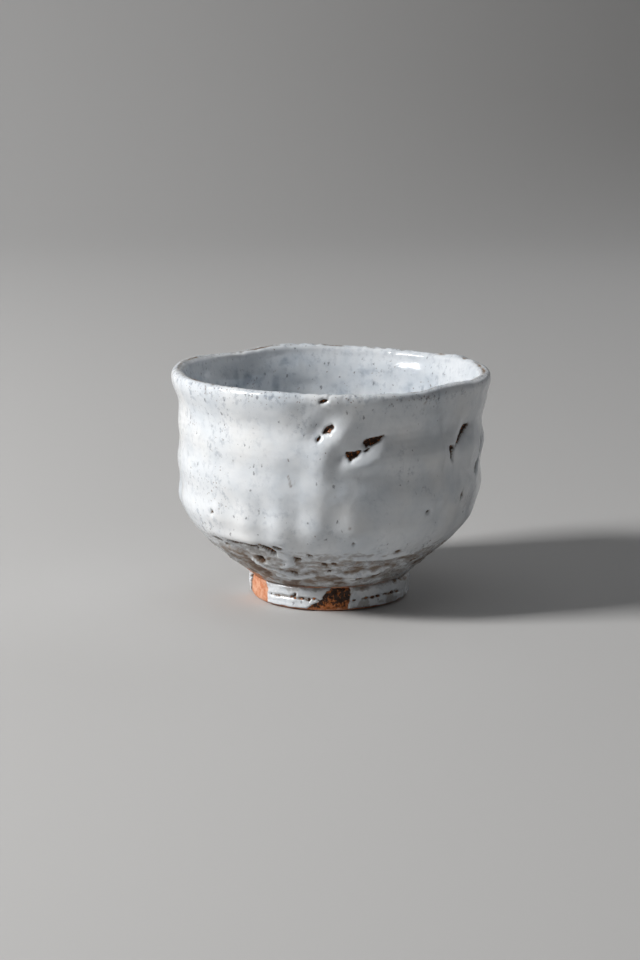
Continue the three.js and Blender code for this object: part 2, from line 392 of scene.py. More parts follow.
BACK_CRAWLS = (
    ((118, 72, 0.3), (121, 70.6, 0.9), (124, 68.4, 0.7), (125, 66.4, 0.25)),
    ((138, 58, 0.3), (141, 58.8, 1), (145, 60.4, 0.9), (148, 61, 0.3)),
    ((166, 70.5, 0.4), (168, 69.4, 1), (170, 69.6, 0.4)),
    ((-172, 64, 0.4), (-170, 62.4, 0.8), (-171, 60.6, 0.3)),
    ((-141, 68.4, 0.3), (-138, 69.6, 0.8), (-134, 71.2, 0.5)),
    ((-112, 61.5, 0.4), (-110.5, 60.2, 0.7), (-109, 60.6, 0.3)),
    ((104, 45, 0.3), (105, 43.2, 0.8), (104.6, 41.4, 0.3)),
)
BACK_SHOULDER_CRAWLS = tuple(
    ((start, height, 0.4), (start + span / 2, height - 0.5, size), (start + span, height + 0.2, 0.4))
    for start, span, height, size in (
        (92, 4, 27.6, 0.7), (101, 3, 25.4, 0.5), (122, 5, 28.2, 0.8), (131, 3, 27.4, 0.6),
        (152, 3, 22.2, 0.5), (171, 6, 27.8, 0.9), (-176, 3, 26.6, 0.6), (-158, 3, 18.4, 0.5),
        (-143, 5, 28, 0.8), (-134, 3, 27, 0.6), (-118, 3, 20.6, 0.5), (-99, 5, 27.7, 0.7),
        (-88, 3, 26.4, 0.5), (-71, 3, 23.2, 0.5), (46, 3, 19.8, 0.5), (63, 4, 24.6, 0.6),
    )
)
CRAWLS = (
    *FRONT_CRAWLS, *RIGHT_CRAWLS, *SHOULDER_CRAWLS, *BELLY_PITS, *BACK_CRAWLS, *BACK_SHOULDER_CRAWLS,
)

# Iron stains in the glaze, with no hollow of their own.
STAINS = (
    ((7, 38.1, 0.3), (7.4, 38, 0.3)), ((-15.6, 56.4, 0.2), (-14.9, 54.6, 0.1)),
    ((-14.9, 53.6, 0.35), (-14.2, 52.7, 0.2)), ((-13.2, 54.4, 0.1), (-13, 54, 0.1)),
    ((1.5, 49.4, 0.1), (2.1, 49.2, 0.15)), ((35, 84.6, 0.2), (33.6, 81.8, 0.1)),
    ((-49.4, 85.6, 0.2), (-48.6, 83, 0.1)), ((161, 50, 0.3), (161.4, 49.2, 0.2)),
    ((-120, 47, 0.3), (-119.4, 46.6, 0.2)),
)

# Dents and bulges of the clay: azimuth, height, across, tall, turn, depth (negative stands out).
DENTS = (
    (-9, 79.5, 5.5, 5, 20, 0.9), (-4.2, 74, 3.2, 6, -42, 1.5), (4, 71.6, 3.8, 6, -40, -1.5),
    (11, 67.6, 2.6, 6.5, -58, 1.1), (2.8, 64.4, 2.8, 3.8, -14, 1.5), (12, 60.8, 6.5, 2.4, 10, -1.1),
    (-4, 59.5, 4.6, 8.5, -8, -1), (17.5, 65.2, 3.8, 4.8, -40, -0.7), (-11.5, 54.5, 5, 7, 0, 0.4),
    (-2, 58, 4, 9, 0, -0.4), (8, 79.5, 14, 3.5, 2, 0.4), (57, 66.5, 3.2, 9, -42, 0.9),
    (63.5, 62, 4.5, 9, -20, -0.7), (52, 69, 3.5, 6, -30, -0.6), (76, 61, 3.2, 5, 0, 1),
    (47, 58, 3.5, 14, 4, 0.35), (-37, 31.2, 16, 2.4, 0, -1), (-37, 26, 16, 2.4, 0, 1.1),
    (-26, 21, 8, 2.4, 6, -1.1), (-12, 19.5, 6, 3, 0, 0.6), (39, 40.5, 5, 3.5, 0, 0.4),
    (122, 69, 5, 7, 30, 0.7), (143, 59, 8, 4, 15, 0.7), (169, 69, 5, 5, 0, 0.6),
    (-171, 62, 4, 7, 0, 0.6), (-137, 70, 7, 5, 20, 0.7), (-110, 58, 6, 10, 0, 0.5),
)

# Runs of thick glaze, and folds where it slid down and wrinkled over the foot.
GLAZE_RUNS = (
    ((40.2, 76, 0.5), (42.8, 67.5, 0.7), (43, 54, 0.8), (40.4, 46, 1)),
    ((52, 72, 0.4), (50, 66.5, 0.5), (48.2, 56, 0.8), (46, 45, 0.9)),
    ((60, 44.5, 0.4), (60.2, 41, 0.5)),
)
GLAZE_FOLDS = (
    ((-37.5, 21.5, 0.3), (-33, 18.6, 0.5), (-26, 16.6, 0.5), (-19, 15.2, 0.3)),
    ((-30, 14.6, 0.3), (-23, 13.9, 0.45), (-15, 14.9, 0.4), (-8, 16.2, 0.25)),
    ((-22, 25.4, 0.4), (-18, 24, 0.6), (-17.6, 21.6, 0.5), (-22, 20.2, 0.4)),
    ((6, 16.2, 0.3), (16, 15.4, 0.4), (27, 16.6, 0.3)),
    ((12, 24.2, 0.2), (24, 23.6, 0.3), (37, 24.6, 0.2)),
    ((100, 21, 0.3), (110, 18.4, 0.5), (121, 18, 0.3)),
    ((-170, 20.4, 0.3), (-158, 16.4, 0.5), (-146, 17, 0.3)),
    ((-120, 17, 0.3), (-108, 15, 0.5), (-96, 16.4, 0.3)),
)

# Hairline nicks across the lip: each crosses from the outside over the crest.
LIP_NICKS = (-47.5, -0.2, 33, 96, 151, -128)
NICK_WIDTH = 0.45

# Clay left bare where fingers held the foot, as strokes like the crawls. The front one fired rusty.
HELD_LEFT = (
    (-52.5, 12, 1), (-56, 9.2, 2.8), (-59, 6.8, 4.8), (-65.5, 3.6, 8), (-67, 0.5, 9.4),
)
HELD_FRONT = (
    (8.5, 8, 3), (6.5, 5.5, 4.6), (3.8, 3, 5.2), (-5, 0.9, 3.2), (-13, 0.2, 1.7),
)
HELD_BACK = ((149, 9, 2), (152, 5, 4.4), (153, 1, 5.6))

# The width of the glaze's rolled edge at a crawl, how far the clay lies back there, how far below
# that the glaze dives out of sight, over what distance it does, and how near its edge is ragged.
CRAWL_EDGE = 0.9
CRAWL_RECESS = 0.8
CRAWL_DIVE = 0.4
DIVE_REACH = 0.3
NEAR_CRAWL = 4

# Fine turning lines on the wall, cuts of the turning tool above the foot, and lobes round the belly.
LINE_PITCH = 2.6
CUT_PITCH = 1.9
CUTS_TOP = 28
LOBES = 26


def crawl_distance(grid):
    """Distance to the nearest crawl's ragged edge."""
    distance = grid.strokes(CRAWLS)
    ragged = 0.22 * grid.noise(1.1, 3) + 0.25 * grid.noise(2.8, 4)
    near = distance < NEAR_CRAWL
    distance[near] += ragged[near]
    return distance


def held_distance(grid, marks):
    """Distance to the ragged edge of the nearest bare mark left by holding the foot."""
    ragged = 0.8 * grid.noise(3.4, 6) + 0.35 * grid.noise(1.2, 14)
    return grid.strokes(marks) + ragged


def clay_relief(grid):
    """How far the outside clay stands off its turned shape."""
    relief = 0.2 * grid.noise(26, 1) + 0.1 * grid.noise(9, 2)
    for azimuth, height, across, tall, turn, depth in DENTS:
        relief -= depth * grid.dent(azimuth, height, across, tall, turn)
    waver = 1.4 * grid.noise(40, 5)
    lobes = np.cos(np.radians(LOBES * (grid.azimuth + 32)) + waver)
    strength = 0.22 + 0.38 * grid.beside(-22, 24) + 0.25 * grid.noise(50, 15)
    relief += strength * lobes * bell((grid.height - 39) / 8)
    rippled = grid.beside(46, 14) * bell((grid.height - 58) / 15)
    relief += rippled * 0.5 * grid.noise(4.2, 17, 0.22)
    spiral = 2 * np.pi * grid.height / LINE_PITCH + np.radians(grid.azimuth)
    relief += 0.02 * np.sin(spiral + 2 * grid.noise(25, 7))
    turned = smooth_step((CUTS_TOP - grid.height) / 5)
    cuts = np.sin(2 * np.pi * grid.along / CUT_PITCH + 2.5 * grid.noise(20, 8))
    lumps = 0.25 * grid.noise(4.5, 9, 1.6) + 0.14 * grid.noise(1.8, 16, 1.4)
    relief += turned * (0.14 * cuts + lumps)
    return relief


def lip_roughness(grid):
    """Small lumps and nicks along the lip's crest."""
    crest = bell((grid.along - CREST) / 3.2)
    lumps = 0.2 * grid.noise(5, 11) + 0.18 * grid.noise(1.8, 12) + 0.3 * grid.noise(14, 13)
    for azimuth in LIP_NICKS:
        slant = azimuth + 0.35 * (grid.along - CREST)
        lumps -= 0.35 * bell(wrapped(grid.azimuth - slant) * LIP_RADIUS * math.pi / 180 / NICK_WIDTH)
    return crest * lumps


def edged(thickness, distance, roll, dive):
    """A coat's thickness, rolled off towards its edges and diving under the clay past them."""
    rounded = np.sqrt(1 - (1 - np.clip(distance / roll, 0, 1)) ** 2)
    return thickness * rounded - dive * np.clip(-distance / DIVE_REACH, 0, 1)


def glaze_thickness(grid):
    """The outside glaze's thickness, below 0 where it crawled away, and distance to its edge."""
    thickness = GLAZE + 0.16 * grid.noise(15, 21) + 0.05 * grid.noise(4, 22)
    thickness -= 0.28 * smooth_step((30 - grid.height) / 8)
    worn = 0.38 + 0.2 * grid.noise(2.2, 23) + 0.3 * grid.noise(12, 25)
    thickness -= worn * bell((grid.along - CREST - 0.4) / 1.5)
    thickness += 0.5 * smooth_step(1 - grid.strokes(GLAZE_RUNS) / 2.8)
    thickness += 0.85 * smooth_step(1 - grid.strokes(GLAZE_FOLDS) / 1.7)
    distance = crawl_distance(grid)
    thickness += 0.09 * bell((distance - 1.3) / 0.9) + 0.2 * bell((distance - 2.5) / 2.4)
    start = grid.along - 0.2 + 0.3 * grid.noise(5, 24)
    held = held_distance(grid, (HELD_LEFT, HELD_BACK))
    distance = np.minimum(distance, np.minimum(start, held))
    return edged(thickness, distance, CRAWL_EDGE, CRAWL_RECESS + CRAWL_DIVE), distance


# -------------------------------- meshes


def scene_object(name, data):
    """A new object that holds the data, put in the scene."""
    made = bpy.data.objects.new(name, data)
    bpy.context.scene.collection.objects.link(made)
    return made


def loop_faces(rows, columns, round_closed, rows_closed):
    """Quads of a grid of points that closes on itself in the ways named."""
    row = np.arange(rows if rows_closed else rows - 1)
    column = np.arange(columns if round_closed else columns - 1)
    row, column = np.meshgrid(row, column, indexing="ij")
    next_row = (row + 1) % rows
    next_column = (column + 1) % columns
    corners = (row * columns + column, row * columns + next_column,
               next_row * columns + next_column, next_row * columns + column)
    return np.stack([corner.ravel() for corner in corners], axis=1)


def mesh_piece(name, points, quads, triangles, layers, material):
    """An object from points in millimetres, its faces pointing out, with one number layer per name."""
    points = np.asarray(points, float)
    faces = [quads, triangles]
    halves = np.concatenate([quads[:, [0, 1, 2]], quads[:, [0, 2, 3]], triangles])
    a, b, c = (points[halves[:, corner]] for corner in range(3))
    if (a * np.cross(b, c)).sum() < 0:
        faces = [face[:, ::-1] for face in faces]
    mesh = bpy.data.meshes.new(name)
    mesh.vertices.add(len(points))
    mesh.vertices.foreach_set("co", (points * MM).ravel())
    corners = np.concatenate([face.ravel() for face in faces])
    sizes = np.concatenate([np.full(len(face), face.shape[1]) for face in faces])
    mesh.loops.add(len(corners))
    mesh.loops.foreach_set("vertex_index", corners.astype(np.int32))
    mesh.polygons.add(len(sizes))
    mesh.polygons.foreach_set("loop_start", (np.cumsum(sizes) - sizes).astype(np.int32))
    mesh.polygons.foreach_set("use_smooth", np.ones(len(sizes), bool))
    mesh.update(calc_edges=True)
    for layer, values in layers.items():
        attribute = mesh.attributes.new(layer, "FLOAT", "POINT")
        attribute.data.foreach_set("value", np.asarray(values, np.float32))
    mesh.materials.append(material)
    return scene_object(name, mesh)


NO_TRIANGLES = np.zeros((0, 3), int)


def ring_piece(name, loop, layers, material):
    """A solid from a loop of rows that runs right round the bowl."""
    rows, columns = loop.shape[:2]
    quads = loop_faces(rows, columns, True, True)
    flat = {layer: values.ravel() for layer, values in layers.items()}
    return mesh_piece(name, loop.reshape(-1, 3), quads, NO_TRIANGLES, flat, material)


def fan(middle, rim, reverse):
    """Triangles between a middle point and the rim round it."""
    beside = np.roll(rim, -1)
    sides = (beside, rim) if reverse else (rim, beside)
    return np.stack([np.full(len(rim), middle), *sides], axis=1)


def bowl_piece(name, loops, layers, material):
    """A solid from rows that run right round, closed at both ends on the bowl's middle."""
    rows, columns = loops.shape[:2]
    quads = loop_faces(rows, columns, True, False)
    count = rows * columns
    rim = np.arange(columns)
    fans = [fan(count, rim, True), fan(count + 1, count - columns + rim, False)]
    points = np.vstack([loops.reshape(-1, 3), loops[[0, -1]].mean(axis=1)])
    flat = {layer: np.append(values, values[[0, -1]].mean(axis=1)) for layer, values in layers.items()}
    return mesh_piece(name, points, quads, np.concatenate(fans), flat, material)


def band_piece(name, loop, layers, material):
    """A solid from a loop of rows that runs part of the way round, capped at both ends."""
    rows, columns = loop.shape[:2]
    quads = loop_faces(rows, columns, False, True)
    count = rows * columns
    rim = np.arange(rows) * columns
    fans = [fan(count, rim, False), fan(count + 1, rim + columns - 1, True)]
    points = np.vstack([loop.reshape(-1, 3), loop[:, [0, -1]].mean(axis=0)])
    flat = {layer: np.append(values, [0, 0]) for layer, values in layers.items()}
    return mesh_piece(name, points, quads, np.concatenate(fans), flat, material)


# -------------------------------- materials


class Shader:
    """A material with one Principled BSDF, and short ways to make the nodes that feed it."""

    def __init__(self, name):
        self.material = bpy.data.materials.new(name)
        self.material.use_nodes = True
        self.tree = self.material.node_tree
        self.place = self.node("ShaderNodeTexCoord", {}).outputs["Object"]

    def feed(self, node, inputs):
        """Links each named or numbered input to a node's output, or sets it to a fixed value."""
        for key, value in inputs.items():
            if isinstance(value, bpy.types.NodeSocket):
                self.tree.links.new(value, node.inputs[key])
            else:
                node.inputs[key].default_value = value

    def node(self, kind, inputs, **settings):
        """A new node of a kind, with its settings made before its inputs are fed."""
        made = self.tree.nodes.new(kind)
        for key, value in settings.items():
            setattr(made, key, value)
        self.feed(made, inputs)
        return made

    def surfaced(self, inputs):
        """The material, with the inputs of its surface fed."""
        self.feed(self.tree.nodes["Principled BSDF"], inputs)
        return self.material

    def attribute(self, name):
        """A number layer of the mesh."""
        return self.node("ShaderNodeAttribute", {}, attribute_name=name).outputs["Fac"]

    def math(self, operation, first, second):
        return self.node("ShaderNodeMath", {0: first, 1: second}, operation=operation).outputs[0]

    def plus(self, first, second):
        return self.math("ADD", first, second)

    def times(self, first, second):
        return self.math("MULTIPLY", first, second)

    def squeezed(self, squeeze):
        """The object's coordinates, squeezed in height by a factor."""
        inputs = {0: self.place, 1: (1, 1, squeeze)}
        return self.node("ShaderNodeVectorMath", inputs, operation="MULTIPLY").outputs[0]

    def noise(self, size, detail=2.0, roughness=0.5, squeeze=1.0):
        """Noise from 0 to 1 with lumps about size millimetres across."""
        return self.node("ShaderNodeTexNoise", {
            "Vector": self.squeezed(squeeze),
            "Scale": 1 / (size * MM),
            "Detail": detail,
            "Roughness": roughness,
        }).outputs["Fac"]

    def between(self, value, low, high, out_low=0.0, out_high=1.0):
        """A value eased from out_low to out_high as it goes from low to high."""
        inputs = dict(enumerate((value, low, high, out_low, out_high)))
        return self.node("ShaderNodeMapRange", inputs, interpolation_type="SMOOTHSTEP").outputs[0]

    def mix(self, share, first, second):
        """A colour that goes from the first to the second as the share goes from 0 to 1."""
        inputs = {"Factor": share, 6: first, 7: second}
        return self.node("ShaderNodeMix", inputs, data_type="RGBA").outputs[2]

    def specks(self, spacing, radius, chance, squeeze=1.0, softness=0.5):
        """Ragged specks, 0 to 1, in some of the cells of a Voronoi pattern; most are small."""
        ragged = self.node("ShaderNodeTexNoise", {
            "Vector": self.place,
            "Scale": 1.6 / (spacing * MM),
            "Detail": 2.0,
        })
        shifted = self.node("ShaderNodeVectorMath", {
            0: ragged.outputs["Color"],
            1: [0.9 * spacing * MM] * 3,
            2: self.squeezed(squeeze),
        }, operation="MULTIPLY_ADD")
        inputs = {"Vector": shifted.outputs[0], "Scale": 1 / (spacing * MM)}
        cells = self.node("ShaderNodeTexVoronoi", inputs, feature="F1").outputs
        parts = self.node("ShaderNodeSeparateColor", {0: cells["Color"]}).outputs
        size = self.between(self.math("POWER", parts[0], 2.5), 0, 1, radius * 0.25, radius)
        inner = self.times(size, 1 - softness)
        spot = self.between(cells["Distance"], inner, size, 1.0, 0.0)
        return self.times(spot, self.math("LESS_THAN", parts[1], chance))

    def bump(self, height, depth, onto=None):
        """A normal that tilts over bumps some millimetres deep, added onto another if it is given."""
        inputs = {"Distance": depth * MM, "Height": height}
        if onto is not None:
            inputs["Normal"] = onto
        return self.node("ShaderNodeBump", inputs).outputs[0]


MILK = (0.715, 0.735, 0.755, 1)
# Cool grey and smoke are the glaze's own bluish mottles; inside the bowl they also paint shade on the
# back-left wall.
COOL_GREY = (0.47, 0.52, 0.575, 1)
WARM_WHITE = (0.765, 0.76, 0.75, 1)
SMOKE = (0.22, 0.26, 0.32, 1)
IRON_GREY = (0.075, 0.08, 0.095, 1)
IRON_BROWN = (0.12, 0.065, 0.035, 1)
# The grey and brown of thin glaze, both made darker so that they also paint shade under the belly.
THIN_AND_SHADE_GREY = (0.275, 0.253, 0.235, 1)
THIN_AND_SHADE_BROWN = (0.215, 0.16, 0.12, 1)
ORANGE_CLAY = (0.50, 0.185, 0.085, 1)
SALMON_CLAY = (0.64, 0.34, 0.22, 1)
ASH = (0.62, 0.5, 0.42, 1)
# Near-black scorched clay; in the crawls and along the foot's lower edge it is also painted shade.
DARK_CLAY = (0.038, 0.016, 0.007, 1)
RUST = (0.44, 0.13, 0.022, 1)
GRIT = (0.22, 0.09, 0.045, 1)


def white_glaze():
    """Thick milky glaze: mottled, speckled with iron, browner where it is thin.

    Its layers for thin and cool glaze also carry painted shade: under the belly, and inside towards
    the back-left.
    """
    shader = Shader("white_glaze")
    thin_and_shade = shader.attribute("thin_and_shade")
    cool_and_shade = shader.attribute("cool_and_shade")
    speckled = shader.attribute("speckled")

    cloud = shader.between(shader.noise(17, 3.0, 0.55), 0.4, 0.7)
    fine_cloud = shader.between(shader.noise(4.5, 3.0, 0.6), 0.42, 0.72)
    # The cool layer tints towards cool grey and smoke; on the inside wall towards the back-left this
    # is painted shade.
    coolness = shader.plus(shader.times(cloud, 0.34), shader.times(cool_and_shade, 0.5))
    coolness = shader.plus(coolness, shader.times(fine_cloud, 0.16))
    colour = shader.mix(coolness, MILK, COOL_GREY)
    colour = shader.mix(shader.between(coolness, 0.62, 1.15, 0.0, 0.75), colour, SMOKE)
    warm = shader.between(shader.noise(26, 2.0), 0.5, 0.72, 0.0, 0.55)
    colour = shader.mix(warm, colour, WARM_WHITE)

    smudge = shader.between(shader.noise(2.3, 3.0, 0.65, 0.85), 0.5, 0.7)
    crowded = shader.between(speckled, 0.4, 0.9, 0.0, 0.9)
    for marks, strength, tint in (
        (shader.times(smudge, speckled), 0.7, SMOKE),
        (shader.specks(1.5, 0.42, speckled, 0.6, 0.6), 0.6, IRON_GREY),
        (shader.specks(0.9, 0.5, crowded, 1.0, 0.6), 0.6, IRON_BROWN),
        (shader.specks(3.4, 0.17, shader.plus(speckled, 0.1), 0.8, 0.6), 0.75, IRON_BROWN),
        (shader.attribute("stain"), 0.85, IRON_BROWN),
    ):
        colour = shader.mix(shader.times(marks, strength), colour, tint)

    veil = shader.noise(1.8, 4.0, 0.7, 2.0)
    thinness = shader.plus(thin_and_shade, shader.times(veil, 0.7))
    # Thin glaze turns grey and brown; under the belly these tints are also painted shade.
    for low, high, most, tint in (
        (0.5, 0.85, 0.7, THIN_AND_SHADE_GREY), (0.85, 1.2, 1.0, THIN_AND_SHADE_BROWN), (1.15, 1.4, 1.0, IRON_BROWN),
    ):
        colour = shader.mix(shader.between(thinness, low, high, 0.0, most), colour, tint)

    gloss = shader.between(shader.noise(9, 3.0, 0.6), 0.3, 0.75, 0.13, 0.24)
    normal = shader.bump(shader.noise(3.2, 2.0, 0.5), 0.16)
    normal = shader.bump(shader.noise(0.9, 2.0, 0.55), 0.022, onto=normal)
    pinholes = shader.specks(1.6, 0.13, 0.12, softness=0.7)
    normal = shader.bump(shader.math("SUBTRACT", 0.0, pinholes), 0.12, onto=normal)
    return shader.surfaced({
        "Base Color": colour,
        "Roughness": shader.plus(gloss, shader.times(thin_and_shade, 0.22)),
        "Normal": normal,
        "IOR": 1.52,
        "Subsurface Weight": 0.22,
        "Subsurface Radius": (1.0, 0.95, 0.9),
        "Subsurface Scale": 0.0012,
    })


def bare_clay():
    """Iron-rich clay: orange where it stayed bare, dark and half glassy where it was scorched.

    The scorch layer also makes the crawls and the foot's lower edge near black, partly as painted
    shade.
    """
    shader = Shader("bare_clay")
    scorch_and_shade = shader.attribute("scorch_and_shade")
    patches = shader.between(shader.noise(2.6, 4.0, 0.65), 0.38, 0.62)
    colour = shader.mix(patches, ORANGE_CLAY, SALMON_CLAY)
    ash = shader.specks(2.0, 0.42, 0.3, softness=0.8)
    colour = shader.mix(shader.times(ash, 0.55), colour, ASH)
    grit = shader.specks(0.9, 0.28, 0.3, softness=0.5)
    colour = shader.mix(shader.times(grit, 0.5), colour, GRIT)
    veins = shader.between(shader.noise(1.5, 4.0, 0.7), 0.36, 0.64, -0.6, 0.6)
    ragged = shader.plus(scorch_and_shade, shader.times(veins, scorch_and_shade))
    colour = shader.mix(shader.between(ragged, 0.1, 0.45), colour, RUST)
    colour = shader.mix(shader.between(ragged, 0.48, 0.72), colour, DARK_CLAY)
    glassy = shader.times(shader.noise(1.1, 2.0, 0.5), scorch_and_shade)
    normal = shader.bump(shader.noise(1.4, 4.0, 0.65), 0.25)
    normal = shader.bump(glassy, 0.6, onto=normal)
    return shader.surfaced({
        "Base Color": colour,
        "Roughness": shader.between(scorch_and_shade, 0.2, 0.55, 0.82, 0.3),
        "Normal": shader.bump(grit, 0.08, onto=normal),
        "Specular IOR Level": 0.35,
    })


GLAZE_MATERIAL = white_glaze()
CLAY_MATERIAL = bare_clay()

# -------------------------------- the wall and its coats
# Steps in degrees round and in millimetres along, and the (place, reach) where they are finer.
COLUMN_STEP = 0.95
FINE_COLUMN_STEP = 0.36
FINE_COLUMNS = (
    (6, 12), (-6, 6), (55, 9), (75, 4), (-38, 14), (-20, 6), (122, 4), (143, 5), (168, 3),
    (-171, 3), (-138, 4),
)
COLUMNS = graded(-180, 180, COLUMN_STEP, FINE_COLUMN_STEP, FINE_COLUMNS)[:-1]
ROW_STEP = 0.85
FINE_ROW_STEP = 0.42
FINE_HEIGHTS = ((27.4, 1.6), (66, 4.5), (72, 3))
LIP_ROW_STEP = 0.45
LIP_START = CREST - 5
LIP_TOP = CREST - 1.9
LIP_END = SEAM + 1.8


def outside_rows():
    """Distances along the wall outline, from the foot to just below the crest."""
    fine = [(WALL_OUTLINE.along_at(height), reach) for height, reach in FINE_HEIGHTS]
    rows = graded(0, LIP_START, ROW_STEP, FINE_ROW_STEP, fine)
    return np.concatenate([rows[:-1], np.arange(LIP_START, LIP_TOP, LIP_ROW_STEP)])


def lip_rows():
    """Distances along the wall outline, over the crest and past the seam of the two coats."""
    return np.arange(LIP_TOP, LIP_END, LIP_ROW_STEP)


# The hidden back of a coat: where it runs from and to, its rows, and how far off the surface it is.
OUTER_BACK = (CREST - 4, 3.0, 9, -3.4)
INNER_BACK = (WALL_OUTLINE.length, CREST + 5, 12, -1.3)
SEAM_FADE = 1.5
SEAM_DIP = 0.9
INSIDE_ROW_STEP = 1.1
INSIDE_RING_PITCH = 11


def back_rows(grid, start, stop, count, raised):
    """The hidden back of a coat: a few rows buried in the clay."""
    along = np.linspace(start, stop, count)
    return Grid(grid.outline, grid.azimuth[0], along, grid.foot).raised(raised)


def seam_dip(beyond):
    """How deep a coat dips under the other one, some millimetres beyond their seam."""
    return SEAM_DIP * np.clip(beyond / SEAM_FADE, 0, 1) ** 2


def speckle_density(grid):
    """How many specks there are: most on the left and just under the lip, and in drifts."""
    left = 0.3 * grid.beside(-60, 40)
    lip = 0.6 * bell((grid.along - CREST + 2.5) / 4.5)
    drift = 0.5 * grid.noise(14, 31) + 0.25 * grid.noise(5, 35)
    return np.clip(0.1 + left + lip + drift, 0, 1)


def thinness(thickness):
    """0 for thick glaze, 1 for glaze so thin that the clay shows through."""
    return 1 - smooth_step((thickness - 0.12) / 0.5)


def underside_wash_and_shade(grid):
    """Streaks where the glaze under the belly went thin over the turning marks.

    It is also painted shade: the whole underside below the belly is darkened, most of all on the left.
    """
    streaks = 0.5 + 0.9 * grid.noise(5, 33, 3.0) + 0.6 * grid.noise(2, 34, 2.2)
    left = 0.2 * grid.beside(-40, 26)
    return smooth_step((31 - grid.height) / 9) * (0.16 + left + 0.52 * smooth_step(streaks))


def padded(layers, before=0, after=0):
    """Layers with rows of zeros added, for the hidden back of a coat."""
    return {name: np.pad(values, ((before, after), (0, 0))) for name, values in layers.items()}


def outer_coat(columns):
    """The glaze outside, from the foot over the crest to the seam."""
    grid = Grid(WALL_OUTLINE, columns, np.concatenate([outside_rows(), lip_rows()]))
    thickness, _ = glaze_thickness(grid)
    dip = seam_dip(grid.along - SEAM)
    face = clay_relief(grid) + lip_roughness(grid) + thickness - GLAZE - dip
    # Painted shade: the wash darkens the glaze under the belly, less where the glaze is thick.
    wash_and_shade = underside_wash_and_shade(grid) * (1 - smooth_step((thickness - 0.85) / 0.4))
    layers = {
        "thin_and_shade": thinness(thickness) + wash_and_shade,
        "cool_and_shade": 0.3 + 0.45 * grid.noise(19, 32) + 0.22 * grid.noise(7, 36),
        "speckled": speckle_density(grid),
        "stain": smooth_step(0.5 - grid.strokes(STAINS, 4.0) / 0.7),
    }
    back = back_rows(grid, *OUTER_BACK)
    loop = np.concatenate([grid.raised(face), back])
    return ring_piece("outer_glaze_coat", loop, padded(layers, after=len(back)), GLAZE_MATERIAL)


def inside_relief(grid):
    """The inside: soft lumps, and throwing rings that run as one spiral down to the middle."""
    relief = 0.22 * grid.noise(24, 41) + 0.08 * grid.noise(7, 42)
    turn = np.radians(grid.azimuth)
    deep = smooth_step((grid.along - CREST - 6) / 10)
    rings = np.cos(2 * np.pi * grid.along / INSIDE_RING_PITCH + turn + grid.noise(40, 43))
    return relief + 0.2 * rings * deep


def inner_coat(columns):
    """The glaze inside, from the seam down over the floor."""
    below_lip = graded(LIP_END, WALL_OUTLINE.length, INSIDE_ROW_STEP, INSIDE_ROW_STEP, ())
    grid = Grid(WALL_OUTLINE, columns, np.concatenate([lip_rows(), below_lip]))
    thickness, _ = glaze_thickness(grid)
    deep = smooth_step((grid.along - SEAM) / 6)
    outside = clay_relief(grid) + thickness - GLAZE
    inside = inside_relief(grid) + 0.1 * grid.noise(4.5, 44)
    dip = seam_dip(SEAM - grid.along)
    face = outside * (1 - deep) + inside * deep + lip_roughness(grid) - dip
    bands = smooth_step(grid.noise(15, 45, 2.2) * 1.4)
    mottles = smooth_step(0.4 + 1.1 * grid.noise(4.6, 48) + 0.9 * grid.noise(13, 49))
    # Painted shade: the inside wall towards the back-left, turned away from the lamp, gets cooler,
    # darker glaze and stronger mottles.
    shaded = grid.beside(-148, 42) * smooth_step((grid.height - 22) / 16)
    shaded_mottles = (0.15 + 0.5 * shaded) * mottles
    layers = {
        "thin_and_shade": thinness(thickness) * (1 - deep),
        "cool_and_shade": 0.25 + deep * (0.1 + 0.3 * bands + 0.55 * shaded + shaded_mottles),
        "speckled": np.clip(0.35 + deep * (0.4 * bands + 0.4 * grid.noise(9, 46)), 0, 1),
    }
    back = back_rows(grid, *INNER_BACK)
    rows = np.concatenate([back, grid.raised(face)])
    return bowl_piece("inner_glaze_coat", rows, padded(layers, before=len(back)), GLAZE_MATERIAL)


# How far the clay stays under the glaze where it is never seen, and its underside.
CREST_CLEARANCE = 0.25
INSIDE_CLEARANCE = 0.35
SEAT = FOOT_HEIGHT + GAP
UNDERSIDE_POINTS = (
    (POLE_RADIUS, WELL_TOP), (12, WELL_TOP), (FOOT_INNER - 3.5, WELL_TOP + 0.1),
    (FOOT_INNER - 1.5, SEAT), (FOOT_RADIUS - 1.6, SEAT - 0.1),
)


